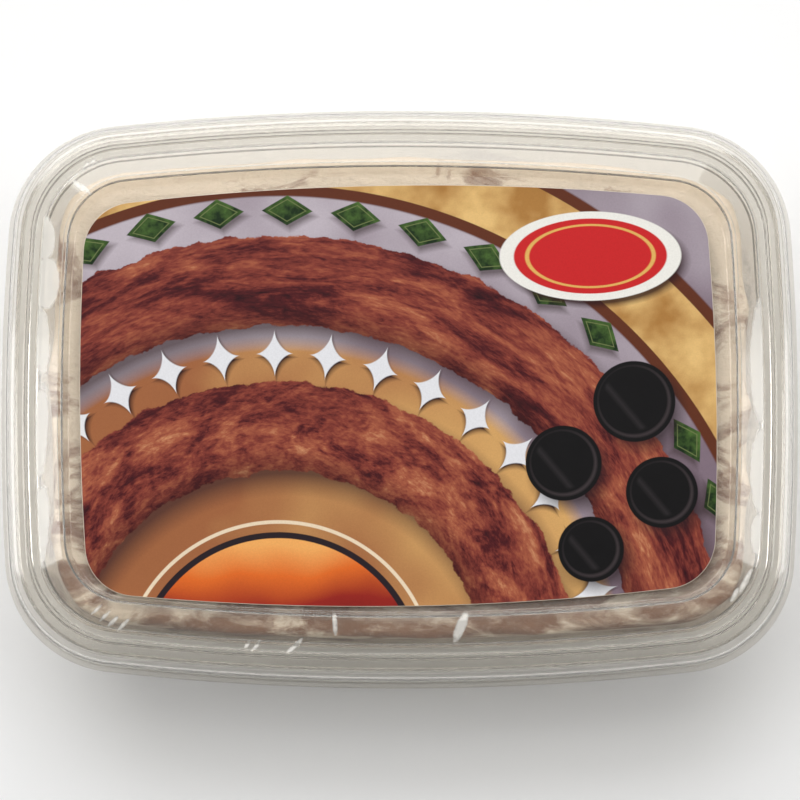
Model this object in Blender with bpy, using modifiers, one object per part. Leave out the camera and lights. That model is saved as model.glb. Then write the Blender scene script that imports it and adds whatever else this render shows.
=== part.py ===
"""A shut clear plastic tub of marble halva with a printed label, standing on its base.

Run in Blender 4.5: blender --background --python part.py
Metres, +Z up. The origin is the middle of the base, +X runs along the tub's length,
and +Y points to the label's upper edge.

Every level of the tub and the lid has the same kind of outline: four slightly bowed
sides that meet in round corners. A level is named by its inset, which is how far its
ends lie in from the ends of the lid's lip.
"""

import math

import bmesh
import bpy
from mathutils import Vector, noise
from mathutils.geometry import intersect_sphere_sphere_2d

# The outline of the lid's lip, the outermost edge
HALF_LENGTH = 0.0780
HALF_WIDTH = 0.0574
CORNER_RADIUS = 0.0227
BOW_RADIUS = 0.500

# How much of an inset the long sides and the corner radius follow
SIDE_SHARE = 1.05
CORNER_SHARE = 0.84

# Points in a quarter of an outline: on half an end, a corner and half a long side
END_STEPS = 3
CORNER_STEPS = 8
SIDE_STEPS = 4

# Both mouldings. The other heights follow from that of the tub's rim
RIM_UNDER_Z = 0.0339
SHEET_THICKNESS = 0.0005
BEND_STEPS = 2
SMOOTH_BELOW = math.radians(35)

# The lid: insets, and heights of its upper face
LIP_Z = RIM_UNDER_Z - 0.0042
SKIRT_FOOT_INSET = 0.0009
SKIRT_INSET = 0.0012
LEDGE_Z = RIM_UNDER_Z + 0.0015
SHOULDER_RADIUS = 0.0030
LEDGE_INNER_INSET = 0.0067
RIDGE_START_INSET = 0.0072
RIDGE_START_Z = RIM_UNDER_Z + 0.0021
RIDGE_Z = RIM_UNDER_Z + 0.0041
RIDGE_INSET = 0.0114
RECESS_TOP_INSET = 0.0124
RECESS_FOOT_INSET = 0.0134
PANEL_Z = RIM_UNDER_Z + 0.0010

# The tub: insets, and heights of its outer and lower face
RIM_FOOT_Z = RIM_UNDER_Z - 0.0028
RIM_FOOT_INSET = 0.0032
RIM_BEND_RADIUS = 0.0006
WALL_TOP_INSET = 0.0074
WALL_FOOT_INSET = 0.0132
BASE_BEND_RADIUS = 0.0040
FOOT_INNER_INSET = 0.0200
BASE_STEP = 0.0008

# The halva: a block that fills the tub, with a lumpy upper face
FILL_GAP = 0.00035
FILL_Z = RIM_UNDER_Z - 0.0020
FILL_EDGE_RADIUS = 0.0022
FILL_BEND_STEPS = 3
END_EDGE_GAP = 0.0012
EDGE_WOBBLE = 0.0007
EDGE_LUMPS_PER_METRE = 90
TOP_RELIEF = 0.0006
TOP_LUMPS_PER_METRE = 70
TOP_RINGS = 7

# The label: it lies on the lid's panel, turned a little
LABEL_HALF_LENGTH = 0.0621
LABEL_HALF_WIDTH = 0.0417
LABEL_CORNER_RADIUS = 0.0100
LABEL_THICKNESS = 0.0002
LABEL_GAP = 0.0003
LABEL_SHIFT = (-0.0003, -0.0005)
LABEL_TURN = math.radians(0.8)

# Colour with alpha, and roughness
CLEAR_PLASTIC = ((0.93, 0.94, 0.93, 0.3), 0.12)
HALVA = ((0.66, 0.53, 0.38, 1.0), 0.85)
PRINT = ((0.45, 0.20, 0.12, 1.0), 0.55)


def clear_scene():
    for obj in list(bpy.data.objects):
        bpy.data.objects.remove(obj)


def material(name, look):
    colour, roughness = look
    made = bpy.data.materials.new(name)
    made.use_nodes = True
    shader = made.node_tree.nodes["Principled BSDF"]
    shader.inputs["Base Color"].default_value = (*colour[:3], 1.0)
    shader.inputs["Alpha"].default_value = colour[3]
    shader.inputs["Roughness"].default_value = roughness
    shader.inputs["Metallic"].default_value = 0.0
    made.diffuse_color = colour
    return made


def arc(centre, radius, start, stop, steps):
    """Points along an arc, without its last one."""
    points = []
    for i in range(steps):
        angle = start + (stop - start) * i / steps
        points.append(centre + radius * Vector((math.cos(angle), math.sin(angle))))
    return points


def outline(half_length, half_width, corner_radius):
    """Four bowed sides and four round corners that touch them, anticlockwise from +X."""
    end_centre = Vector((half_length - BOW_RADIUS, 0))
    side_centre = Vector((0, half_width - BOW_RADIUS))
    reach = BOW_RADIUS - corner_radius
    meeting = intersect_sphere_sphere_2d(end_centre, reach, side_centre, reach)
    corner = max(meeting, key=lambda point: point.x)
    corner_start = math.atan2(corner.y, corner.x - end_centre.x)
    corner_stop = math.atan2(corner.y - side_centre.y, corner.x)

    quarter = arc(end_centre, BOW_RADIUS, 0, corner_start, END_STEPS)
    quarter += arc(corner, corner_radius, corner_start, corner_stop, CORNER_STEPS)
    quarter += arc(side_centre, BOW_RADIUS, corner_stop, math.pi / 2, SIDE_STEPS)
    half = quarter + [Vector((0, half_width))]
    half += [Vector((-p.x, p.y)) for p in reversed(quarter[1:])]
    return half + [-p for p in half]


def ring(mesh, inset, z):
    """A level of the tub or the lid, as a ring of vertices."""
    points = outline(
        HALF_LENGTH - inset,
        HALF_WIDTH - inset * SIDE_SHARE,
        CORNER_RADIUS - inset * CORNER_SHARE,
    )
    return [mesh.verts.new((p.x, p.y, z)) for p in points]


def bridge(mesh, outer, inner):
    """Faces from one ring to the next one in."""
    for i, corner in enumerate(outer):
        after = (i + 1) % len(outer)
        mesh.faces.new((corner, outer[after], inner[after], inner[i]))


def loft(mesh, line):
    """Rings along a line of (inset, z), joined up. Returns the first and the last ring."""
    rings = [ring(mesh, inset, z) for inset, z in line]
    for outer, inner in zip(rings, rings[1:]):
        bridge(mesh, outer, inner)
    return rings[0], rings[-1]


def rounded(corners, steps=BEND_STEPS):
    """A line through (inset, z, radius) corners. A corner with a radius becomes an arc."""
    line = []
    for i, (inset, z, radius) in enumerate(corners):
        corner = Vector((inset, z))
        if radius == 0:
            line.append(corner)
            continue
        before = (Vector(corners[i - 1][:2]) - corner).normalized()
        after = (Vector(corners[i + 1][:2]) - corner).normalized()
        half_angle = before.angle(after) / 2
        centre = corner + (before + after).normalized() * radius / math.sin(half_angle)
        first = corner + before * radius / math.tan(half_angle) - centre
        last = corner + after * radius / math.tan(half_angle) - centre
        across = Vector((-first.y, first.x))
        turn = math.copysign(first.angle(last), across.dot(last))
        for step in range(steps + 1):
            angle = turn * step / steps
            line.append(centre + first * math.cos(angle) + across * math.sin(angle))
    return line


def add_object(name, mesh, collection, look):
    data = bpy.data.meshes.new(name)
    mesh.to_mesh(data)
    mesh.free()
    obj = bpy.data.objects.new(name, data)
    collection.objects.link(obj)
    data.materials.append(look)
    data.shade_smooth()
    data.set_sharp_from_angle(angle=SMOOTH_BELOW)
    return obj


def thicken(obj):
    """Gives a moulding its thickness, on the side away from the modelled face."""
    solidify = obj.modifiers.new("Thickness", "SOLIDIFY")
    solidify.thickness = SHEET_THICKNESS
    solidify.offset = -1
    solidify.use_even_offset = True
    solidify.use_quality_normals = True


def build_lid(collection, look):
    """The lid's upper face, from the lip up over the ridge and down to the panel."""
    line = rounded(
        [
            (0, LIP_Z, 0),
            (SKIRT_FOOT_INSET, LIP_Z, 0),
            (SKIRT_INSET, LEDGE_Z, SHOULDER_RADIUS),
            (LEDGE_INNER_INSET, LEDGE_Z, 0),
            (RIDGE_START_INSET, RIDGE_START_Z, 0),
            (RIDGE_INSET, RIDGE_Z, 0),
            (RECESS_TOP_INSET, RIDGE_Z, 0),
            (RECESS_FOOT_INSET, PANEL_Z, 0),
        ],
    )
    mesh = bmesh.new()
    _, panel_edge = loft(mesh, line)
    mesh.faces.new(panel_edge)
    thicken(add_object("lid", mesh, collection, look))


def build_tub(collection, look):
    """The tub's outer face, from under the rim down the wall to the raised base panel."""
    line = rounded(
        [
            (RIM_FOOT_INSET, RIM_FOOT_Z, 0),
            (RIM_FOOT_INSET, RIM_UNDER_Z, RIM_BEND_RADIUS),
            (WALL_TOP_INSET, RIM_UNDER_Z, RIM_BEND_RADIUS),
            (WALL_FOOT_INSET, 0, BASE_BEND_RADIUS),
            (FOOT_INNER_INSET, 0, 0),
            (FOOT_INNER_INSET + BASE_STEP, BASE_STEP, 0),
        ],
    )
    mesh = bmesh.new()
    _, base_edge = loft(mesh, line)
    mesh.faces.new(base_edge)
    bmesh.ops.reverse_faces(mesh, faces=mesh.faces)
    thicken(add_object("tub", mesh, collection, look))


def fill_inset(z):
    """The inset of the halva's side at this height, just inside the tub's wall."""
    slope = (WALL_FOOT_INSET - WALL_TOP_INSET) / RIM_UNDER_Z
    wall = WALL_TOP_INSET + (RIM_UNDER_Z - z) * slope
    return wall + (SHEET_THICKNESS + FILL_GAP) * math.hypot(1, slope)


def draw_in(vertex):
    """Moves a point of the halva's upper edge in, unevenly, and most at the ends."""
    at_end = (vertex.co.x / HALF_LENGTH) ** 4
    lumps = noise.noise(vertex.co * EDGE_LUMPS_PER_METRE)
    distance = END_EDGE_GAP * at_end + EDGE_WOBBLE * (1 + lumps)
    outwards = Vector((vertex.co.x, vertex.co.y, 0)).normalized()
    vertex.co -= outwards * distance


def build_halva(collection, look):
    """The block of halva: flat below, snug against the wall, with a lumpy upper face."""
    floor_z = SHEET_THICKNESS + FILL_GAP
    line = rounded(
        [
            (FOOT_INNER_INSET + BASE_STEP, floor_z + BASE_STEP, 0),
            (FOOT_INNER_INSET, floor_z, 0),
            (fill_inset(floor_z), floor_z, BASE_BEND_RADIUS - floor_z),
            (fill_inset(FILL_Z), FILL_Z, FILL_EDGE_RADIUS),
            (fill_inset(FILL_Z) + 2 * FILL_EDGE_RADIUS, FILL_Z, 0),
        ],
        FILL_BEND_STEPS,
    )
    mesh = bmesh.new()
    bottom, top = loft(mesh, line)
    mesh.faces.new(list(reversed(bottom)))

    outer = top
    for step in range(1, TOP_RINGS):
        share = 1 - step / TOP_RINGS
        inner = [mesh.verts.new((v.co.x * share, v.co.y * share, FILL_Z)) for v in top]
        bridge(mesh, outer, inner)
        outer = inner
    middle = mesh.verts.new((0, 0, FILL_Z))
    for i, vertex in enumerate(outer):
        mesh.faces.new((vertex, outer[(i + 1) % len(outer)], middle))

    for vertex in mesh.verts:
        below_top = FILL_Z - vertex.co.z
        if below_top < FILL_EDGE_RADIUS:
            draw_in(vertex)
        if below_top < FILL_EDGE_RADIUS / 2:
            lumps = noise.fractal(vertex.co * TOP_LUMPS_PER_METRE, 1.0, 2.0, 3)
            vertex.co.z += TOP_RELIEF * lumps
    add_object("halva", mesh, collection, look)


def build_label(collection, look):
    """The label: a flat sheet in the same kind of outline as the panel under it."""
    curve = bpy.data.curves.new("label", "CURVE")
    curve.dimensions = "2D"
    curve.fill_mode = "BOTH"
    curve.extrude = LABEL_THICKNESS / 2
    curve.materials.append(look)
    points = outline(LABEL_HALF_LENGTH, LABEL_HALF_WIDTH, LABEL_CORNER_RADIUS)
    edge = curve.splines.new("POLY")
    edge.points.add(len(points) - 1)
    for spline_point, p in zip(edge.points, points):
        spline_point.co = (p.x, p.y, 0, 1)
    edge.use_cyclic_u = True

    obj = bpy.data.objects.new("label", curve)
    obj.location = (*LABEL_SHIFT, PANEL_Z + LABEL_GAP + LABEL_THICKNESS / 2)
    obj.rotation_euler = (0, 0, LABEL_TURN)
    collection.objects.link(obj)


def main():
    clear_scene()
    collection = bpy.data.collections.new("marble_halva_tub")
    bpy.context.scene.collection.children.link(collection)
    clear = material("clear_plastic", CLEAR_PLASTIC)
    build_tub(collection, clear)
    build_lid(collection, clear)
    build_halva(collection, material("marble_halva", HALVA))
    build_label(collection, material("label_print", PRINT))


main()
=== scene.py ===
"""Looks of a shut clear plastic tub of marble halva with a printed label.

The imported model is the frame: every piece here stands where its node stands, and the
sizes below are taken from the nodes' boxes or set beside them. Metres, +Z up.
"""

import math

import bmesh
import bpy
from bpy.props import FloatProperty, FloatVectorProperty, IntProperty, PointerProperty
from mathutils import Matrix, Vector, noise
from mathutils.geometry import intersect_sphere_sphere_2d


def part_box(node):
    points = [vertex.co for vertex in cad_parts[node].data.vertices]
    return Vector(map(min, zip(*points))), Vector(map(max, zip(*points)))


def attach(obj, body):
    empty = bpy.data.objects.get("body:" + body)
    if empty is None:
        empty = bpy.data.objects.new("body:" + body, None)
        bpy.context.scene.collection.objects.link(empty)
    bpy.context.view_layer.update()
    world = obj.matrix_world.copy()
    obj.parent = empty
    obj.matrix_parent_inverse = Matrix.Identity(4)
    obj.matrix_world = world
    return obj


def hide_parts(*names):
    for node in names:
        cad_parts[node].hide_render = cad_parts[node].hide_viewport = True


bl_info = {
    "name": "Clear tub of marble halva",
    "version": (1, 0, 0),
    "blender": (4, 5, 0),
    "location": "3D View > Sidebar > Halva tub",
    "description": "Models a shut clear tub of marble halva with its lid and label",
    "category": "Object",
}

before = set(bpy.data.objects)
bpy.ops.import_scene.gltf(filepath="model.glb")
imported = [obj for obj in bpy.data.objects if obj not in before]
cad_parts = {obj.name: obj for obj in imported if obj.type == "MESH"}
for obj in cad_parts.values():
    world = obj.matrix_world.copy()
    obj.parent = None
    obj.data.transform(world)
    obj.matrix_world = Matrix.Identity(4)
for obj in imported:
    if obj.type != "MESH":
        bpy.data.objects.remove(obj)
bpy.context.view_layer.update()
LID_HIGH = Vector(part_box("lid")[1])
LABEL_LOW, LABEL_HIGH = (Vector(corner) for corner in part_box("label"))
LABEL_MIDDLE = (LABEL_LOW + LABEL_HIGH) / 2


# Properties


class MouldingSettings(bpy.types.PropertyGroup):
    """Sizes and finish of the clear tub and lid"""

    half_length: FloatProperty(
        name="Half length",
        description="From the middle to the end of the lid's lip",
        default=LID_HIGH.x,
        unit="LENGTH",
    )
    half_width: FloatProperty(
        name="Half width",
        description="From the middle to the long side of the lid's lip",
        default=LID_HIGH.y,
        unit="LENGTH",
    )
    corner_radius: FloatProperty(
        name="Corner radius",
        description="Of the lid's lip",
        default=0.0227,
        unit="LENGTH",
    )
    bow_radius: FloatProperty(
        name="Bow radius",
        description="Of the slightly bowed sides",
        default=0.500,
        unit="LENGTH",
    )
    side_share: FloatProperty(
        name="Side share",
        description="How much of an inset the long sides follow",
        default=1.05,
    )
    corner_share: FloatProperty(
        name="Corner share",
        description="How much of an inset the corner radius follows",
        default=0.84,
    )
    thickness: FloatProperty(
        name="Sheet thickness",
        description="Of both mouldings",
        default=0.0005,
        unit="LENGTH",
    )
    outline_steps: IntProperty(
        name="Outline steps",
        description="Points on a quarter of an outline, half of them in its corner",
        default=44,
    )
    bend_steps: IntProperty(
        name="Bend steps",
        description="Steps in each rounded bend of a moulding",
        default=8,
    )
    tint: FloatVectorProperty(
        name="Tint",
        description="Colour of the light that comes through",
        default=(0.83, 0.808, 0.768),
        subtype="COLOR",
        min=0,
        max=1,
    )
    haze_colour: FloatVectorProperty(
        name="Haze colour",
        description="Colour of the faint milky scatter in the plastic",
        default=(0.80, 0.78, 0.74),
        subtype="COLOR",
        min=0,
        max=1,
    )
    haze: FloatProperty(
        name="Haze",
        description="Share of light that the plastic scatters",
        default=0.05,
        min=0,
        max=1,
    )
    roughness: FloatProperty(
        name="Roughness",
        description="Of the plastic's surface",
        default=0.07,
        min=0,
        max=1,
    )


class HalvaSettings(bpy.types.PropertyGroup):
    """Relief and marbling of the halva"""

    wall_gap: FloatProperty(
        name="Wall gap",
        description="Between the halva and the tub's inner face",
        default=0.00035,
        unit="LENGTH",
    )
    grain_size: FloatProperty(
        name="Grain size",
        description="Edge length of the halva's faces",
        default=0.0010,
        unit="LENGTH",
    )
    relief: FloatProperty(
        name="Relief",
        description="How deep the lumps and flakes of the upper face are",
        default=0.0010,
        unit="LENGTH",
    )
    scallop: FloatProperty(
        name="Scallop",
        description="How far the scallops of the upper edge leave the wall",
        default=0.0024,
        unit="LENGTH",
    )
    edge_depth: FloatProperty(
        name="Edge depth",
        description="How far down the uneven upper edge reaches",
        default=0.0080,
        unit="LENGTH",
    )
    cream: FloatVectorProperty(
        name="Cream",
        description="Colour of the plain sesame paste",
        default=(0.785, 0.665, 0.535),
        subtype="COLOR",
        min=0,
        max=1,
    )
    cocoa: FloatVectorProperty(
        name="Cocoa",
        description="Colour of the marbling",
        default=(0.215, 0.095, 0.045),
        subtype="COLOR",
        min=0,
        max=1,
    )


class LabelSettings(bpy.types.PropertyGroup):
    """Size and print of the label"""

    half_length: FloatProperty(
        name="Half length",
        description="From the label's middle to its end",
        default=0.0621,
        unit="LENGTH",
    )
    half_width: FloatProperty(
        name="Half width",
        description="From the label's middle to its long side",
        default=0.0417,
        unit="LENGTH",
    )
    corner_radius: FloatProperty(
        name="Corner radius",
        description="Of the label",
        default=0.0100,
        unit="LENGTH",
    )
    turn: FloatProperty(
        name="Turn",
        description="How far the label is turned on the panel",
        default=math.radians(0.8),
        subtype="ANGLE",
    )


class StageSettings(bpy.types.PropertyGroup):
    """Camera, lights and floor"""

    camera_height: FloatProperty(
        name="Camera angle",
        description="Angle of the camera above the horizon",
        default=math.radians(80),
        subtype="ANGLE",
    )
    camera_distance: FloatProperty(
        name="Camera distance",
        description="From the camera to the lid",
        default=1.2,
        unit="LENGTH",
    )
    aim: FloatVectorProperty(
        name="Aim",
        description="Point that the camera looks at",
        default=(0.00006, -0.0016, LID_HIGH.z - 0.0025),
        subtype="XYZ",
        unit="LENGTH",
    )
    lens: FloatProperty(
        name="Lens",
        description="Focal length in millimetres",
        default=277.1,
    )
    floor_colour: FloatVectorProperty(
        name="Floor colour",
        description="Of the plain floor",
        default=(0.88, 0.88, 0.88),
        subtype="COLOR",
        min=0,
        max=1,
    )


# Shader maths

MM = 0.001


class Value:
    """A socket in a material. Python operators on it add Math nodes."""

    def __init__(self, tree, socket=None):
        self.tree = tree
        self.socket = socket

    def node(self, kind, settings=None, inputs=None, output=0):
        """Adds a node of this type: its settings first, then its sockets' values or links."""
        made = self.tree.nodes.new(kind)
        for name, setting in (settings or {}).items():
            if name == "stops":
                set_stops(made.color_ramp, setting)
            else:
                setattr(made, name, setting)
        for name, given in (inputs or {}).items():
            if isinstance(given, Value):
                self.tree.links.new(given.socket, made.inputs[name])
            else:
                made.inputs[name].default_value = given
        return Value(self.tree, made.outputs[output] if made.outputs else None)

    def maths(self, operation, *terms, clamp=False):
        settings = {"operation": operation, "use_clamp": clamp}
        return self.node("ShaderNodeMath", settings, dict(enumerate(terms)))

    def __add__(self, other):
        return self.maths("ADD", self, other)

    def __sub__(self, other):
        return self.maths("SUBTRACT", self, other)

    def __rsub__(self, other):
        return self.maths("SUBTRACT", other, self)

    def __mul__(self, other):
        return self.maths("MULTIPLY", self, other)

    def __truediv__(self, other):
        return self.maths("DIVIDE", self, other)

    def __pow__(self, other):
        return self.maths("POWER", self, other)

    def __abs__(self):
        return self.maths("ABSOLUTE", self)

    def times_plus(self, factor, term, clamp=False):
        """This value times a factor, plus a term, in one node."""
        return self.maths("MULTIPLY_ADD", self, factor, term, clamp=clamp)

    def clamped(self):
        """This value kept between 0 and 1."""
        return self.maths("MULTIPLY", self, 1.0, clamp=True)

    def part(self, axis):
        """One coordinate of a vector."""
        return self.node("ShaderNodeSeparateXYZ", {}, {0: self}, axis)

    def painted(self, colour, mask):
        """This colour with another one over it where the mask is 1."""
        over = colour if isinstance(colour, Value) else (*colour, 1)
        settings = {"data_type": "RGBA"}
        return self.node("ShaderNodeMix", settings, {0: mask, 6: self, 7: over}, 2)

    def scaled(self, factor):
        """A colour made lighter or darker."""
        return self.node("ShaderNodeVectorMath", {"operation": "SCALE"}, {0: self, "Scale": factor})

    def ramp(self, *stops):
        """A colour for each value, from (place, colour) stops."""
        return self.node("ShaderNodeValToRGB", {"stops": stops}, {0: self})


def length(across, along):
    return (across * across + along * along) ** 0.5


def inside(distance, blur=0.15):
    """1 inside a shape and 0 outside it, from the distance to its edge."""
    return (0.5 - distance / blur).clamped()


def set_stops(ramp, stops):
    """Gives a colour ramp these (place, colour) stops."""
    while len(ramp.elements) > 1:
        ramp.elements.remove(ramp.elements[-1])
    ramp.elements[0].position = stops[0][0]
    ramp.elements[0].color = (*stops[0][1], 1)
    for place, colour in stops[1:]:
        ramp.elements.new(place).color = (*colour, 1)


def new_material(name):
    """An empty material. Returns it with a value that adds its nodes."""
    material = bpy.data.materials.new(name)
    material.use_nodes = True
    material.node_tree.nodes.clear()
    return material, Value(material.node_tree)


def show(graph, shader):
    """Makes a shader the material's surface."""
    graph.node("ShaderNodeOutputMaterial", {}, {"Surface": shader})


# Shapes


def arc(centre, radius, start, stop, steps):
    """Points along an arc, without its last one."""
    points = []
    for i in range(steps):
        angle = start + (stop - start) * i / steps
        points.append(centre + radius * Vector((math.cos(angle), math.sin(angle))))
    return points


def outline(half_length, half_width, corner_radius, moulding):
    """Four bowed sides and four round corners that touch them, anticlockwise from +X."""
    bow = moulding.bow_radius
    end_centre = Vector((half_length - bow, 0))
    side_centre = Vector((0, half_width - bow))
    reach = bow - corner_radius
    meeting = intersect_sphere_sphere_2d(end_centre, reach, side_centre, reach)
    corner = max(meeting, key=lambda point: point.x)
    corner_start = math.atan2(corner.y, corner.x - end_centre.x)
    corner_stop = math.atan2(corner.y - side_centre.y, corner.x)

    corner_steps = moulding.outline_steps // 2
    end_steps = moulding.outline_steps // 5
    side_steps = moulding.outline_steps - corner_steps - end_steps
    quarter = arc(end_centre, bow, 0, corner_start, end_steps)
    quarter += arc(corner, corner_radius, corner_start, corner_stop, corner_steps)
    quarter += arc(side_centre, bow, corner_stop, math.pi / 2, side_steps)
    half = quarter + [Vector((0, half_width))]
    half += [Vector((-p.x, p.y)) for p in reversed(quarter[1:])]
    return half + [-p for p in half]


def level(inset, moulding):
    """The outline of the tub or the lid at this inset."""
    return outline(
        moulding.half_length - inset,
        moulding.half_width - inset * moulding.side_share,
        moulding.corner_radius - inset * moulding.corner_share,
        moulding,
    )


def bridge(mesh, outer, inner):
    """Faces from one ring to the next one in."""
    for i, corner in enumerate(outer):
        after = (i + 1) % len(outer)
        mesh.faces.new((corner, outer[after], inner[after], inner[i]))


def loft(mesh, line, moulding):
    """Rings along a line of (inset, z), joined up. Returns the first and the last ring."""
    rings = []
    for inset, z in line:
        points = level(inset, moulding)
        rings.append([mesh.verts.new((p.x, p.y, z)) for p in points])
    for outer, inner in zip(rings, rings[1:]):
        bridge(mesh, outer, inner)
    return rings[0], rings[-1]


def rounded(corners, steps):
    """A line through (inset, z, radius) corners. A corner with a radius becomes an arc."""
    line = []
    for i, (inset, z, radius) in enumerate(corners):
        corner = Vector((inset, z))
        if radius == 0:
            line.append(corner)
            continue
        before = (Vector(corners[i - 1][:2]) - corner).normalized()
        after = (Vector(corners[i + 1][:2]) - corner).normalized()
        half_angle = before.angle(after) / 2
        centre = corner + (before + after).normalized() * radius / math.sin(half_angle)
        first = corner + before * radius / math.tan(half_angle) - centre
        last = corner + after * radius / math.tan(half_angle) - centre
        across = Vector((-first.y, first.x))
        turn = math.copysign(first.angle(last), across.dot(last))
        for step in range(steps + 1):
            angle = turn * step / steps
            line.append(centre + first * math.cos(angle) + across * math.sin(angle))
    return shaded_flat(line)


def shaded_flat(line):
    """Adds a point near both ends of each straight stretch, so that it shades flat."""
    points = [line[0]]
    for start, end in zip(line, line[1:]):
        along = end - start
        if along.length > 4 * BEND_MARGIN:
            step = along.normalized() * BEND_MARGIN
            points += [start + step, end - step]
        points.append(end)
    return points


def add_piece(name, mesh, material, node):
    """Makes an object of the mesh that stands for a node of the frame."""
    data = bpy.data.meshes.new(name)
    mesh.to_mesh(data)
    mesh.free()
    data.materials.append(material)
    data.shade_smooth()
    piece = bpy.data.objects.new(name, data)
    bpy.context.scene.collection.objects.link(piece)
    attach(piece, "root")
    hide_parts(node)
    return piece


def thicken(piece, thickness):
    """Gives a moulding its thickness, on the side away from the modelled face."""
    solidify = piece.modifiers.new("Thickness", "SOLIDIFY")
    solidify.thickness = thickness
    solidify.offset = -1
    solidify.use_even_offset = True
    solidify.use_quality_normals = True


# Heights above the base. Those of the mouldings are named from the tub's rim
RIM_UNDER_Z = LID_HIGH.z - 0.0041
LIP_Z = RIM_UNDER_Z - 0.0042
LEDGE_Z = RIM_UNDER_Z + 0.0015
RIDGE_START_Z = RIM_UNDER_Z + 0.0021
RIDGE_Z = LID_HIGH.z
PANEL_Z = RIM_UNDER_Z + 0.0010
RIM_FOOT_Z = RIM_UNDER_Z - 0.0028
BASE_STEP = 0.0008
FILL_Z = RIM_UNDER_Z - 0.0020

# Insets of the mouldings' levels
SKIRT_FOOT_INSET = 0.0009
SKIRT_INSET = 0.0012
LEDGE_INNER_INSET = 0.0067
RIDGE_START_INSET = 0.0072
RIDGE_INSET = 0.0114
RECESS_TOP_INSET = 0.0124
RECESS_FOOT_INSET = 0.0134
RIM_FOOT_INSET = 0.0032
WALL_TOP_INSET = 0.0074
WALL_FOOT_INSET = 0.0132
FOOT_INNER_INSET = 0.0200

# How far the lid's upper face is lofted beyond the foot of its recess
PANEL_MARGIN = 0.002

# The unprinted edge of the label
CUT_EDGE = 0.00015

# Radii of the bends
SHOULDER_RADIUS = 0.0030
BASE_BEND_RADIUS = 0.0040
RIM_BEND_RADIUS = 0.0006
SMALL_BEND_RADIUS = 0.0003
TINY_BEND_RADIUS = 0.00012
FILL_EDGE_RADIUS = 0.0010

# How near a bend its straight neighbour gets its own points
BEND_MARGIN = 0.0001

# The fine bead along the lid's ledge
BEAD_INSET = 0.0044
BEAD_INNER_INSET = 0.0058
BEAD_RISE = 0.0002


def lid_line(moulding):
    """The lid's upper face, from the lip over the ridge to the edge of the panel."""
    return rounded(
        [
            (0, LIP_Z, 0),
            (SKIRT_FOOT_INSET, LIP_Z, SMALL_BEND_RADIUS),
            (SKIRT_INSET, LEDGE_Z - BEAD_RISE, SHOULDER_RADIUS),
            (BEAD_INSET, LEDGE_Z - BEAD_RISE, TINY_BEND_RADIUS),
            (BEAD_INSET + BEAD_RISE, LEDGE_Z, TINY_BEND_RADIUS),
            (BEAD_INNER_INSET - BEAD_RISE, LEDGE_Z, TINY_BEND_RADIUS),
            (BEAD_INNER_INSET, LEDGE_Z - BEAD_RISE, TINY_BEND_RADIUS),
            (LEDGE_INNER_INSET, LEDGE_Z - BEAD_RISE, SMALL_BEND_RADIUS / 2),
            (RIDGE_START_INSET, RIDGE_START_Z, SMALL_BEND_RADIUS / 2),
            (RIDGE_INSET, RIDGE_Z, 2 * SMALL_BEND_RADIUS),
            (RECESS_TOP_INSET, RIDGE_Z, SMALL_BEND_RADIUS),
            (RECESS_FOOT_INSET, PANEL_Z, SMALL_BEND_RADIUS),
            (RECESS_FOOT_INSET + PANEL_MARGIN, PANEL_Z, 0),
        ],
        moulding.bend_steps,
    )


def tub_line(moulding):
    """The tub's outer face, from under the rim down the wall to the raised base panel."""
    return rounded(
        [
            (RIM_FOOT_INSET, RIM_FOOT_Z, 0),
            (RIM_FOOT_INSET, RIM_UNDER_Z, RIM_BEND_RADIUS),
            (WALL_TOP_INSET, RIM_UNDER_Z, RIM_BEND_RADIUS),
            (WALL_FOOT_INSET, 0, BASE_BEND_RADIUS),
            (FOOT_INNER_INSET, 0, SMALL_BEND_RADIUS),
            (FOOT_INNER_INSET + BASE_STEP, BASE_STEP, SMALL_BEND_RADIUS),
            (FOOT_INNER_INSET + 2 * BASE_STEP, BASE_STEP, 0),
        ],
        moulding.bend_steps,
    )


# Materials

# The clear plastic's broad shallow dents, and the clouds in its haze
DENTS_PER_METRE = 75.0
DENT_STRENGTH = 0.10
DENT_DEPTH = 0.0004
CLOUDS_PER_METRE = 30.0
CLOUD_SHARE = 0.8
HAZE_ROUGHNESS = 0.3
PLASTIC_IOR = 1.5

# How much of the lamps' light goes on through the plastic
SHADOW_TINT = (0.9, 0.9, 0.89)

# Glints of the lid, painted as small milky marks: place, half size and turn, in millimetres and
# degrees
PAINTED_GLINTS = [
    ((-62.3, 40.4), (1.9, 0.5), -38),
    ((-61.6, 45.2), (0.7, 0.25), 50),
    ((-60.2, 45.9), (0.5, 0.2), 55),
    ((-58.6, -43.0), (0.9, 0.22), 40),
    ((-57.0, -44.2), (0.8, 0.22), 40),
    ((-55.4, -45.2), (0.9, 0.25), 42),
    ((-53.6, -46.0), (1.1, 0.28), 42),
    ((-29.5, -49.6), (0.6, 0.2), 50),
    ((-27.8, -49.9), (0.9, 0.24), 48),
    ((-20.4, -50.0), (1.6, 0.3), 40),
    ((-12.5, -45.9), (0.4, 1.5), 4),
    ((11.8, -46.4), (0.9, 2.6), -24),
    ((67.0, -37.4), (0.4, 2.2), -28),
    ((64.9, -40.0), (0.35, 1.2), -30),
]

# Painted light: pale lobes on the ends of the ridge, over the gaps that the halva leaves
# at the wall, where light shows through them
PAINTED_GAP_LIGHT = [
    ((-69.6, 30.5), (2.2, 4.6), 3),
    ((-69.0, 21.5), (2.6, 5.2), 0),
    ((-69.8, 10.0), (1.5, 7.0), 2),
    ((-69.8, -8.0), (1.4, 9.5), -2),
    ((-69.8, -27.0), (1.8, 8.5), -3),
    ((70.6, 6.0), (2.3, 12.5), -1),
    ((70.4, -15.5), (2.3, 8.5), -2),
    ((69.6, -28.0), (1.5, 4.2), -4),
]

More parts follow.
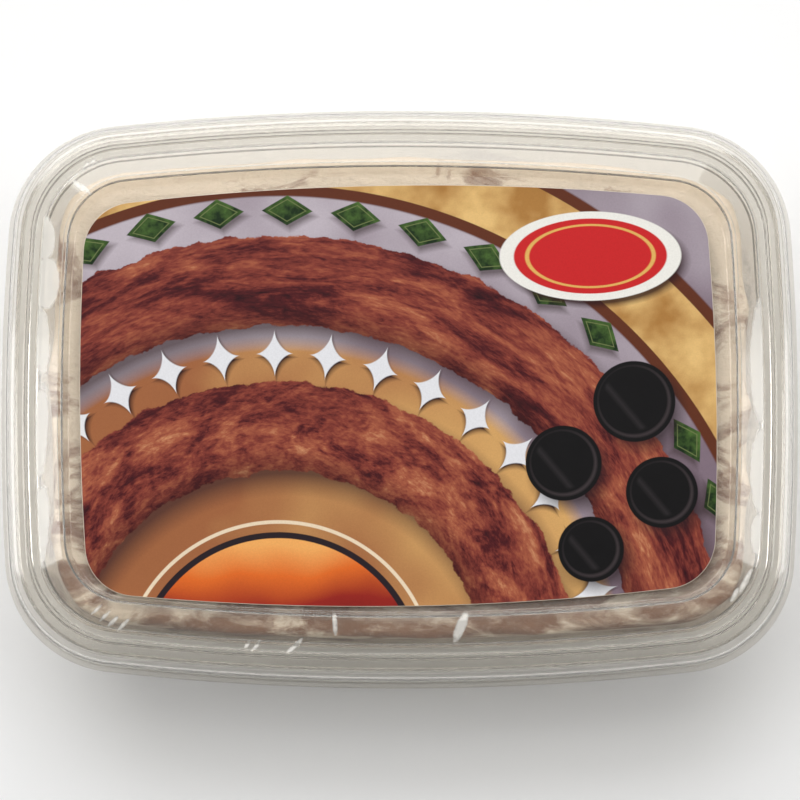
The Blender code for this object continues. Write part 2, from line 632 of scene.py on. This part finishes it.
# How milky both kinds of marks are, how soft and how ragged their edges are, in
# millimetres, and how fine the rags are
GLINT_HAZE = 0.7
GAP_LIGHT_HAZE = 0.36
MARK_BLUR = 0.45
MARK_RAGGEDNESS = 0.7
RAGS_PER_METRE = 900.0


def oval_marks(x, y, rough, ovals):
    """1 inside any of these ovals and 0 outside them, with an edge that rough makes ragged."""
    marks = None
    for centre, size, turn in ovals:
        angle = math.radians(turn)
        cos, sin = math.cos(angle), math.sin(angle)
        left = -(centre[0] * cos + centre[1] * sin) / size[0]
        down = (centre[0] * sin - centre[1] * cos) / size[1]
        u = x.times_plus(cos / size[0], y.times_plus(sin / size[0], left))
        v = x.times_plus(-sin / size[1], y.times_plus(cos / size[1], down))
        reach = u.times_plus(u, v * v)
        sharpness = min(size) / (2 * MARK_BLUR)
        mark = reach.times_plus(-sharpness, rough + sharpness, clamp=True)
        marks = mark if marks is None else marks.maths("MAXIMUM", marks, mark)
    return marks


def painted_glints_and_gap_light(place, bow_radius):
    """How pale the painted glints and the painted light over the gaps are, 0 elsewhere."""
    x = place.part("X") / MM
    y = place.part("Y") / MM
    rags = noise_at(place, RAGS_PER_METRE, 2.0) - 0.5
    rough = 0.5 - rags * MARK_RAGGEDNESS / MARK_BLUR
    ridge_foot = (LID_HIGH.x - RIDGE_START_INSET) / MM
    beyond = abs(x) + y * y / (2 * bow_radius / MM) - ridge_foot
    # Painted light over the gaps at the ends, kept within the foot of the ridge
    gap_light = oval_marks(x, y, rough, PAINTED_GAP_LIGHT) * inside(beyond, 0.3)
    # Painted glints, plus the painted light over the gaps
    return oval_marks(x, y, rough, PAINTED_GLINTS) * GLINT_HAZE + gap_light * GAP_LIGHT_HAZE


def clear_plastic(moulding, with_painted_light=False):
    """Thin clear sheet: glossy, faintly milky, and see-through for the lamps' light too."""
    material, graph = new_material("clear_plastic")
    place = graph.node("ShaderNodeTexCoord", output="Object")
    dents = noise_at(place, DENTS_PER_METRE, 1.0, 0.4, 0.6)
    bump = graph.node(
        "ShaderNodeBump",
        {},
        {"Height": dents, "Strength": DENT_STRENGTH, "Distance": DENT_DEPTH},
        "Normal",
    )
    glass = graph.node(
        "ShaderNodeBsdfPrincipled",
        {},
        {
            "Base Color": (*moulding.tint, 1),
            "Roughness": moulding.roughness,
            "IOR": PLASTIC_IOR,
            "Transmission Weight": 1.0,
            "Normal": bump,
        },
    )
    haze = graph.node(
        "ShaderNodeBsdfPrincipled",
        {},
        {
            "Base Color": (*moulding.haze_colour, 1),
            "Roughness": HAZE_ROUGHNESS,
            "Normal": bump,
        },
    )
    cloud = noise_at(place, CLOUDS_PER_METRE, 3.0) - 0.5
    share = cloud * moulding.haze * CLOUD_SHARE + moulding.haze
    # On the lid: painted glints and painted light over the halva's gaps, as milky marks
    if with_painted_light:
        share = share + painted_glints_and_gap_light(place, moulding.bow_radius)
    milky = graph.node("ShaderNodeMixShader", {}, {0: share, 1: glass, 2: haze})
    clear = graph.node("ShaderNodeBsdfTransparent", {}, {"Color": (*SHADOW_TINT, 1)})
    lamps = graph.node("ShaderNodeLightPath", output="Is Shadow Ray")
    show(graph, graph.node("ShaderNodeMixShader", {}, {0: lamps, 1: milky, 2: clear}))
    return material


# How fine the halva's marbling, streaks, flakes and crumbs are, and how the first three
# are turned and drawn out
SWIRLS_PER_METRE = 40.0
STREAKS_PER_METRE = 120.0
FLAKES_PER_METRE = 420.0
CRUMBS_PER_METRE = 1500.0
FOLD_TURN = (0.3, 0.2, 0.5)
FOLD_SCALE = (1.0, 1.9, 1.5)

# The paste gets plainer towards the back and has more cocoa towards the front, partly its
# marbling and partly painted shade on the front: a little in the whole block, and more in
# its top layer, which begins at this height and is full this much higher
FRONT_SHADE_AND_MARBLING_PER_METRE = 0.4
TOP_FRONT_SHADE_AND_MARBLING_PER_METRE = 1.6
TOP_LAYER_Z = 0.026
TOP_LAYER_RISE = 0.005

# How deep the flakes and crumbs are, and how rough they look
FLAKE_DEPTH = 0.0006
HALVA_ROUGHNESS = 0.72


def marble_halva(halva):
    """Flaky sesame paste with cocoa marbling, more of it towards the front, partly as painted
    shade.
    """
    material, graph = new_material("marble_halva")
    place = graph.node("ShaderNodeTexCoord", output="Object")
    fold = graph.node(
        "ShaderNodeMapping",
        {},
        {"Vector": place, "Rotation": FOLD_TURN, "Scale": FOLD_SCALE},
    )
    near_top = ((place.part("Z") - TOP_LAYER_Z) / TOP_LAYER_RISE).clamped()
    # Darker towards the front: more cocoa there, partly marbling and partly painted shade
    front_shade_and_marbling = place.part("Y") * (near_top * TOP_FRONT_SHADE_AND_MARBLING_PER_METRE + FRONT_SHADE_AND_MARBLING_PER_METRE)
    swirl = noise_at(fold, SWIRLS_PER_METRE, 5.0, 0.58, 1.5) + front_shade_and_marbling
    flakes = noise_at(fold, FLAKES_PER_METRE, 4.0, 0.65, 0.4)
    crumbs = noise_at(place, CRUMBS_PER_METRE, 2.0, 0.6)
    soft = [0.45 * a + 0.55 * b for a, b in zip(halva.cream, halva.cocoa)]
    colour = (swirl + (flakes - 0.5) * 0.10).ramp(
        (0.38, halva.cocoa),
        (0.45, soft),
        (0.50, halva.cream),
    )
    streaks = noise_at(fold, STREAKS_PER_METRE, 4.0, 0.6, 2.2)
    colour = colour.painted(soft, ((0.42 - streaks) * 6).clamped() * 0.5)
    pale = [min(1, 1.25 * c) for c in halva.cream]
    colour = colour.painted(pale, ((flakes - 0.55) * 2.2).clamped() * 0.6)
    dark = [0.55 * c for c in halva.cream]
    colour = colour.painted(dark, ((0.44 - crumbs) * 4).clamped() * 0.5)
    bump = graph.node(
        "ShaderNodeBump",
        {},
        {"Height": flakes * 0.7 + crumbs * 0.3, "Strength": 0.8, "Distance": FLAKE_DEPTH},
        "Normal",
    )
    shader = graph.node(
        "ShaderNodeBsdfPrincipled",
        {},
        {"Base Color": colour, "Roughness": HALVA_ROUGHNESS, "Normal": bump},
    )
    show(graph, shader)
    return material


# The label's print. Places and sizes in millimetres from its middle
ARCS_MIDDLE = (-24, -55)
SUN_RADIUS = 27
INNER_ARC = (40, 58)
STAR_ROW_RADIUS = 63.5
OUTER_ARC = (69, 87)
GOLD_ARC = (97, 109)
STAR_SPACING = 10.5
STAR_SIZE = (3.6, 4.6)
STAR_POWER = 0.62
LOZENGE_ROW_RADIUS = 92
LOZENGE_SPACING = 13.5
LOZENGE_SIZE = (5.0, 3.0)
DARK_DISCS = [
    ((46, -2), 8.0),
    ((32, -14), 7.4),
    ((51, -20), 7.0),
    ((37, -31), 6.4),
]
BADGE_MIDDLE = (38, 27)
BADGE_SIZE = (15, 7.5)
BADGE_RIM = 1.4

# Colours of the print
GOLD_RIM = (0.12, 0.03, 0.012)
ARC_SHADOW = (0.045, 0.018, 0.02)
ARC_SHADE = (0.025, 0.004, 0.004)
SUN_LINE = (0.86, 0.70, 0.50)
SUN_RIM = (0.020, 0.012, 0.016)
STAR_SHADOW = (0.03, 0.008, 0.008)
STAR_WHITE = (0.80, 0.80, 0.83)
LOZENGE_SHADOW = (0.05, 0.03, 0.03)
LOZENGE_LINE = (0.16, 0.20, 0.07)
DISC_SHADOW = (0.02, 0.008, 0.01)
DISC_BLACK = (0.0045, 0.004, 0.0045)
DISC_EDGE = (0.055, 0.042, 0.045)
DISC_GLEAM = (0.050, 0.042, 0.045)
BADGE_SHADOW = (0.03, 0.006, 0.006)
BADGE_CREAM = (0.88, 0.86, 0.80)
BADGE_RED = (0.60, 0.018, 0.020)
BADGE_GOLD = (0.78, 0.45, 0.12)
CUT_PAPER = (0.62, 0.54, 0.45)


def arc_distance(radius, radii):
    """Distance to the edge of the band between two radii."""
    return abs(radius - (radii[0] + radii[1]) / 2) - (radii[1] - radii[0]) / 2


def oval_distance(x, y, size):
    """Roughly the distance to the edge of an oval."""
    return (length(x / size[0], y / size[1]) - 1) * min(size)


def lozenge_distance(x, y, size):
    """Roughly the distance to the edge of a lozenge."""
    return (abs(x) / size[0] + abs(y) / size[1] - 1) * min(size)


def noise_at(place, scale, detail=4.0, roughness=0.55, distortion=0.0):
    inputs = {
        "Vector": place,
        "Scale": scale,
        "Detail": detail,
        "Roughness": roughness,
        "Distortion": distortion,
    }
    return place.node("ShaderNodeTexNoise", {}, inputs)


def arc_marbling(radius, angle, seed):
    """Red-brown marbling that runs along the arcs, with dark veins and light flecks."""
    along = radius.node(
        "ShaderNodeCombineXYZ",
        {},
        {"X": angle * 22, "Y": radius, "Z": float(seed)},
    )
    broad = noise_at(along, 0.11, 5.0, 0.62, 1.3)
    fine = noise_at(along, 0.55, 4.0, 0.6, 0.8)
    crumbs = noise_at(along, 2.2, 2.0, 0.6, 0.0)
    value = broad * 0.62 + fine * 0.3 + crumbs * 0.16
    return value.ramp(
        (0.37, (0.020, 0.003, 0.006)),
        (0.46, (0.085, 0.010, 0.012)),
        (0.54, (0.240, 0.045, 0.030)),
        (0.62, (0.400, 0.110, 0.055)),
        (0.71, (0.640, 0.290, 0.140)),
    )


class LabelPlace:
    """A place on the label, in millimetres, also as seen from the arcs' middle."""

    def __init__(self, place):
        self.place = place
        self.x = place.part("X")
        self.y = place.part("Y")
        across, up = self.beside(ARCS_MIDDLE)
        self.radius = length(across, up)
        self.angle = place.maths("ARCTAN2", up, across)
        self.cloud = noise_at(place, 0.035, 2.0)

    def beside(self, point):
        """How far across and up from a point."""
        return self.x - point[0], self.y - point[1]


def print_ground(at):
    """Pale lilac above, peach and gold below."""
    lilac = (at.cloud + at.y * 0.004 - at.x * 0.002).ramp(
        (0.32, (0.22, 0.16, 0.20)),
        (0.72, (0.52, 0.46, 0.51)),
    )
    peach = (at.cloud + at.x * 0.006).ramp(
        (0.25, (0.36, 0.13, 0.050)),
        (0.75, (0.70, 0.40, 0.14)),
    )
    return lilac.painted(peach, inside(at.radius - STAR_ROW_RADIUS - 2, 3))


def print_gold_arc(art, at):
    """A gold arc with a brown edge."""
    gold = noise_at(at.place, 0.09, 3.0).ramp(
        (0.35, (0.42, 0.20, 0.05)),
        (0.65, (0.80, 0.52, 0.20)),
    )
    distance = arc_distance(at.radius, GOLD_ARC)
    art = art.painted(GOLD_RIM, inside(distance - 2.2, 0.4))
    return art.painted(gold, inside(distance))


def print_marbled_arcs(art, at):
    """Marbled arcs with wavy edges, each over its own soft shadow."""
    across, up = at.beside(ARCS_MIDDLE)
    for seed, radii in enumerate((OUTER_ARC, INNER_ARC)):
        shadow = arc_distance(length(across - 1.5, up + 2.5), radii)
        art = art.painted(ARC_SHADOW, inside(shadow, 4.5) * 0.8)
        wave = noise_at(at.place, 0.16, 2.0) * 3.2 + noise_at(at.place, 1.1, 2.0) * 0.9 - 2.0
        band = arc_marbling(at.radius, at.angle, seed * 7)
        band = band.painted(ARC_SHADE, inside(at.radius - radii[0] - 1.5, 7) * 0.75)
        art = art.painted(band, inside(arc_distance(at.radius, radii) + wave, 0.25))
    return art


def print_sun(art, at):
    """An amber disc that turns maroon, with a dark rim and a pale line."""
    height = at.beside(ARCS_MIDDLE)[1] / SUN_RADIUS
    sun = (height + (at.cloud - 0.5) * 0.5).ramp(
        (0.15, (0.085, 0.004, 0.006)),
        (0.50, (0.300, 0.018, 0.012)),
        (0.72, (0.760, 0.150, 0.020)),
        (0.95, (0.900, 0.420, 0.120)),
    )
    art = art.painted(SUN_LINE, inside(abs(at.radius - SUN_RADIUS - 3.2) - 0.35))
    art = art.painted(SUN_RIM, inside(at.radius - SUN_RADIUS - 1.2))
    return art.painted(sun, inside(at.radius - SUN_RADIUS))


def print_star_row(art, at):
    """A row of white stars between the arcs, over their shadows."""
    step = STAR_SPACING / STAR_ROW_RADIUS
    for drop, colour in ((0.7, STAR_SHADOW), (0, STAR_WHITE)):
        angle = at.angle + 0.5 * drop / STAR_ROW_RADIUS
        turn = angle.maths("FRACT", angle / step) - 0.5
        across = abs(turn) * STAR_SPACING / STAR_SIZE[0]
        out = abs(at.radius - STAR_ROW_RADIUS + drop) / STAR_SIZE[1]
        star = across**STAR_POWER + out**STAR_POWER - 1
        art = art.painted(colour, inside(star, 0.08 + drop * 0.5))
    return art


def print_lozenge_row(art, at):
    """A row of dark green lozenges outside the arcs, each with a pale line."""
    steps = at.angle * (LOZENGE_ROW_RADIUS / LOZENGE_SPACING)
    along = (steps.maths("FRACT", steps) - 0.5) * LOZENGE_SPACING
    out = at.radius - LOZENGE_ROW_RADIUS
    shadow = lozenge_distance(along + 0.6, out + 1.0, LOZENGE_SIZE)
    art = art.painted(LOZENGE_SHADOW, inside(shadow, 1.6) * 0.7)
    green = (noise_at(at.place, 0.5, 3.0) + out * 0.05).ramp(
        (0.35, (0.008, 0.024, 0.006)),
        (0.75, (0.075, 0.150, 0.030)),
    )
    lozenge = lozenge_distance(along, out, LOZENGE_SIZE)
    art = art.painted(green, inside(lozenge))
    return art.painted(LOZENGE_LINE, inside(abs(lozenge + 0.8) - 0.1))


def print_dark_discs(art, at):
    """Near-black glossy discs with a bevelled edge."""
    for middle, size in DARK_DISCS:
        across, up = at.beside(middle)
        shadow = length(across - 1.2, up + 1.6) - size
        art = art.painted(DISC_SHADOW, inside(shadow, 3.0) * 0.75)
        disc = length(across, up) - size
        art = art.painted(DISC_BLACK, inside(disc))
        flat = length(across + 0.25, up - 0.25) - (size - 1.2)
        bevel = inside(disc + 0.9, 0.5) * inside(0 - flat, 0.5)
        art = art.painted(DISC_EDGE, bevel * 0.8)
        stripe = inside(abs(across + up * 0.8 + size * 0.35) - 0.5, 1.4)
        art = art.painted(DISC_GLEAM, stripe * inside(flat + 0.8, 0.6) * 0.45)
    return art


def print_badge(art, at):
    """A plain red oval with a cream rim and a gold line."""
    across, up = at.beside(BADGE_MIDDLE)
    shadow = oval_distance(across - 0.9, up + 1.1, BADGE_SIZE)
    art = art.painted(BADGE_SHADOW, inside(shadow - BADGE_RIM, 1.2) * 0.9)
    oval = oval_distance(across, up, BADGE_SIZE)
    art = art.painted(BADGE_CREAM, inside(oval - BADGE_RIM))
    art = art.painted(BADGE_RED, inside(oval))
    return art.painted(BADGE_GOLD, inside(abs(oval + 1.3) - 0.2))


def label_print(label):
    """Marbled arcs, discs and rows of stars and lozenges, in the colours of such labels."""
    material, graph = new_material("label_print")
    place = graph.node(
        "ShaderNodeMapping",
        {"vector_type": "TEXTURE"},
        {
            "Vector": graph.node("ShaderNodeTexCoord", output="Object"),
            "Location": LABEL_MIDDLE,
            "Rotation": (0, 0, label.turn),
            "Scale": (MM, MM, MM),
        },
    )
    at = LabelPlace(place)
    art = print_ground(at)
    art = print_gold_arc(art, at)
    art = print_marbled_arcs(art, at)
    art = print_sun(art, at)
    art = print_star_row(art, at)
    art = print_lozenge_row(art, at)
    art = print_dark_discs(art, at)
    art = print_badge(art, at)

    # Grain of the print, and the cut edge of the paper
    art = art.scaled(noise_at(place, 3.5, 1.0) * 0.16 + 0.80)
    printed = graph.node("ShaderNodeAttribute", {"attribute_name": "printed"}, output="Fac")
    art = art.painted(CUT_PAPER, ((0.75 - printed) * 6).clamped())

    shader = graph.node(
        "ShaderNodeBsdfPrincipled",
        {},
        {
            "Base Color": art,
            "Roughness": noise_at(place, 0.3) * 0.1 + 0.32,
            "Specular IOR Level": 0.14,
        },
    )
    show(graph, shader)
    return material


# Operators


class HALVA_OT_tub(bpy.types.Operator):
    """Model the clear tub"""

    bl_idname = "halva.tub"
    bl_label = "Clear tub"

    def execute(self, context):
        moulding = context.scene.halva_moulding
        mesh = bmesh.new()
        _, base_edge = loft(mesh, tub_line(moulding), moulding)
        mesh.faces.new(base_edge)
        bmesh.ops.reverse_faces(mesh, faces=mesh.faces)
        piece = add_piece("clear_tub", mesh, clear_plastic(moulding), "tub")
        thicken(piece, moulding.thickness)
        return {"FINISHED"}


class HALVA_OT_lid(bpy.types.Operator):
    """Model the clear lid"""

    bl_idname = "halva.lid"
    bl_label = "Clear lid"

    def execute(self, context):
        moulding = context.scene.halva_moulding
        mesh = bmesh.new()
        _, panel_edge = loft(mesh, lid_line(moulding), moulding)
        mesh.faces.new(panel_edge)
        # The lid's plastic carries the painted glints and the painted light over the gaps
        piece = add_piece("clear_lid", mesh, clear_plastic(moulding, True), "lid")
        thicken(piece, moulding.thickness)
        return {"FINISHED"}


def fill_inset(z, gap, moulding):
    """The inset of the halva's side at this height, just inside the tub's wall."""
    slope = (WALL_FOOT_INSET - WALL_TOP_INSET) / RIM_UNDER_Z
    wall = WALL_TOP_INSET + (RIM_UNDER_Z - z) * slope
    return wall + (moulding.thickness + gap) * math.hypot(1, slope)


class HALVA_OT_block(bpy.types.Operator):
    """Model the block of halva"""

    bl_idname = "halva.block"
    bl_label = "Halva"

    def execute(self, context):
        moulding = context.scene.halva_moulding
        halva = context.scene.halva_block
        floor_z = moulding.thickness + halva.wall_gap
        top_inset = fill_inset(FILL_Z, halva.wall_gap, moulding)
        line = rounded(
            [
                (FOOT_INNER_INSET + BASE_STEP, floor_z + BASE_STEP, 0),
                (FOOT_INNER_INSET, floor_z, 0),
                (
                    fill_inset(floor_z, halva.wall_gap, moulding),
                    floor_z,
                    BASE_BEND_RADIUS - floor_z,
                ),
                (top_inset, FILL_Z, FILL_EDGE_RADIUS),
                (top_inset + 3 * FILL_EDGE_RADIUS, FILL_Z, 0),
            ],
            moulding.bend_steps,
        )
        mesh = bmesh.new()
        bottom, top = loft(mesh, line, moulding)
        mesh.faces.new(list(reversed(bottom)))
        mesh.faces.new(top)
        piece = add_piece("halva_block", mesh, marble_halva(halva), "halva")
        remesh_finely(piece, halva.grain_size)
        relieve(piece, halva)
        return {"FINISHED"}


def remesh_finely(piece, size):
    """Replaces the piece's mesh by one of even, small faces."""
    remesh = piece.modifiers.new("Even faces", "REMESH")
    remesh.mode = "VOXEL"
    remesh.voxel_size = size
    graph = bpy.context.evaluated_depsgraph_get()
    old = piece.data
    piece.data = bpy.data.meshes.new_from_object(piece.evaluated_get(graph))
    piece.modifiers.clear()
    bpy.data.meshes.remove(old)


# The halva's block is this much longer than wide. Its upper edge is drawn in from this
# far along its length, and in full from this much further
BLOCK_ASPECT = 1.36
EDGE_START = 0.045
EDGE_WIDTH = 0.02

# The scallops round the upper edge, and how uneven they are. The long sides have this
# share of their depth, and the edge leaves the wall by this much between them
SCALLOPS_ROUND = 16
SCALLOP_JITTER = 2.4
JITTERS_PER_METRE = 28
SIDE_SCALLOP = 0.25
LEAST_DRAW_IN = 0.0004

# The lumps of the upper face
LUMPS_PER_METRE = 110
LUMP_SHARE = 0.6


def relieve(piece, halva):
    """Lumps and flakes on the upper face, and a scalloped upper edge that leaves the wall."""
    for vertex in piece.data.vertices:
        place = vertex.co.copy()
        depth = FILL_Z - place.z
        if depth > halva.edge_depth:
            continue
        share = (1 - depth / halva.edge_depth) ** 1.5
        outwards = Vector((place.x, place.y * BLOCK_ASPECT, 0))
        near_edge = min(1, max(0, (outwards.length - EDGE_START) / EDGE_WIDTH))
        around = math.atan2(outwards.y, outwards.x)
        jitter = SCALLOP_JITTER * noise.noise(place * JITTERS_PER_METRE)
        scallop = abs(math.sin(SCALLOPS_ROUND / 2 * around + jitter))
        at_end = abs(outwards.normalized().x) ** 3
        depth_here = SIDE_SCALLOP + (1 - SIDE_SCALLOP) * at_end
        draw_in = LEAST_DRAW_IN + halva.scallop * scallop * depth_here
        vertex.co -= outwards.normalized() * draw_in * share * near_edge
        lift = noise.fractal(place * LUMPS_PER_METRE, 1.0, 2.0, 4)
        vertex.co.z += halva.relief * LUMP_SHARE * lift * share
    piece.data.shade_smooth()


class HALVA_OT_label(bpy.types.Operator):
    """Model the label"""

    bl_idname = "halva.label"
    bl_label = "Label"

    def execute(self, context):
        moulding = context.scene.halva_moulding
        label = context.scene.halva_label
        cos, sin = math.cos(label.turn), math.sin(label.turn)
        sizes = (label.half_length, label.half_width, label.corner_radius)
        mesh = bmesh.new()
        printed = mesh.verts.layers.float.new("printed")
        rings = []
        for inset in (0, CUT_EDGE):
            ring = []
            for p in outline(*(size - inset for size in sizes), moulding):
                x = p.x * cos - p.y * sin + LABEL_MIDDLE.x
                y = p.x * sin + p.y * cos + LABEL_MIDDLE.y
                ring.append(mesh.verts.new((x, y, LABEL_HIGH.z)))
                ring[-1][printed] = inset / CUT_EDGE
            rings.append(ring)
        bridge(mesh, *rings)
        mesh.faces.new(rings[1])
        piece = add_piece("label_sheet", mesh, label_print(label), "label")
        thicken(piece, LABEL_HIGH.z - LABEL_LOW.z)
        return {"FINISHED"}


class HALVA_OT_stage(bpy.types.Operator):
    """Set up the camera, the lights and the floor"""

    bl_idname = "halva.stage"
    bl_label = "Stage"

    def execute(self, context):
        stage = context.scene.halva_stage
        add_camera(stage)
        add_floor(stage)
        for name, (place, size, power) in SOFTBOXES.items():
            add_lamp(name, place, size, power)
        add_studio_light()
        context.scene.view_settings.view_transform = "Standard"
        return {"FINISHED"}


# The floor lies just under the base
FLOOR_HALF_SIZE = 3
FLOOR_Z = -0.0002

# Lamps round the tub: place, size and power. All look at the origin
SOFTBOXES = {
    "back_softbox": ((-0.2, 1.5, 0.95), (1.8, 0.8), 9.5),
    "top_softbox": ((-0.1, 0.8, 1.28), (1.4, 0.6), 11.5),
    "left_softbox": ((-1.37, 0.1, 0.61), (0.42, 1.8), 10),
    "front_softbox": ((0.3, -1.3, 0.4), (1.4, 0.5), 1.8),
    "right_softbox": ((1.37, 0.1, 0.61), (0.42, 1.8), 9),
}

# The studio's own light, dark in front and pale behind: place from -Y to +Y, and colour
STUDIO_LIGHT = (
    (0.0, (0.05, 0.05, 0.05)),
    (0.35, (0.14, 0.14, 0.14)),
    (0.55, (0.30, 0.30, 0.30)),
    (1.0, (0.58, 0.57, 0.55)),
)


def add_camera(stage):
    data = bpy.data.cameras.new("camera")
    data.lens = stage.lens
    data.clip_end = 20
    camera = bpy.data.objects.new("camera", data)
    bpy.context.scene.collection.objects.link(camera)
    away = Vector((0, -math.cos(stage.camera_height), math.sin(stage.camera_height)))
    camera.location = Vector(stage.aim) + away * stage.camera_distance
    camera.rotation_euler = (math.pi / 2 - stage.camera_height, 0, 0)
    bpy.context.scene.camera = camera


def add_floor(stage):
    mesh = bmesh.new()
    bmesh.ops.create_grid(mesh, x_segments=1, y_segments=1, size=FLOOR_HALF_SIZE)
    data = bpy.data.meshes.new("floor")
    mesh.to_mesh(data)
    mesh.free()
    material, graph = new_material("pale_floor")
    shader = graph.node(
        "ShaderNodeBsdfPrincipled",
        {},
        {"Base Color": (*stage.floor_colour, 1), "Roughness": 0.8, "Specular IOR Level": 0.1},
    )
    show(graph, shader)
    data.materials.append(material)
    floor = bpy.data.objects.new("floor", data)
    floor.location.z = FLOOR_Z
    bpy.context.scene.collection.objects.link(floor)


def add_lamp(name, place, size, power):
    data = bpy.data.lights.new(name, "AREA")
    data.shape = "RECTANGLE"
    data.size, data.size_y = size
    data.energy = power
    lamp = bpy.data.objects.new(name, data)
    lamp.location = place
    lamp.rotation_euler = (-Vector(place)).to_track_quat("-Z", "Y").to_euler()
    bpy.context.scene.collection.objects.link(lamp)


def add_studio_light():
    world = bpy.data.worlds.new("studio")
    bpy.context.scene.world = world
    world.use_nodes = True
    world.node_tree.nodes.clear()
    sky = Value(world.node_tree)
    toward = sky.node("ShaderNodeTexCoord", output="Generated")
    light = (toward.part("Y") * 0.5 + 0.5).ramp(*STUDIO_LIGHT)
    background = sky.node("ShaderNodeBackground", {}, {"Color": light, "Strength": 1.0})
    sky.node("ShaderNodeOutputWorld", {}, {"Surface": background})


class HALVA_PT_panel(bpy.types.Panel):
    """Buttons for the tub's pieces"""

    bl_idname = "HALVA_PT_panel"
    bl_label = "Halva tub"
    bl_space_type = "VIEW_3D"
    bl_region_type = "UI"
    bl_category = "Halva tub"

    def draw(self, context):
        for operator in OPERATORS:
            self.layout.operator(operator.bl_idname)


OPERATORS = (
    HALVA_OT_stage,
    HALVA_OT_tub,
    HALVA_OT_block,
    HALVA_OT_lid,
    HALVA_OT_label,
)
SETTINGS = {
    "halva_moulding": MouldingSettings,
    "halva_block": HalvaSettings,
    "halva_label": LabelSettings,
    "halva_stage": StageSettings,
}


def register():
    for cls in (*SETTINGS.values(), *OPERATORS, HALVA_PT_panel):
        bpy.utils.register_class(cls)
    for name, cls in SETTINGS.items():
        setattr(bpy.types.Scene, name, PointerProperty(type=cls))


def unregister():
    for name in SETTINGS:
        delattr(bpy.types.Scene, name)
    for cls in reversed((*SETTINGS.values(), *OPERATORS, HALVA_PT_panel)):
        bpy.utils.unregister_class(cls)


def main():
    register()
    bpy.ops.halva.stage()
    bpy.ops.halva.tub()
    bpy.ops.halva.block()
    bpy.ops.halva.lid()
    bpy.ops.halva.label()


if __name__ == "__main__":
    main()
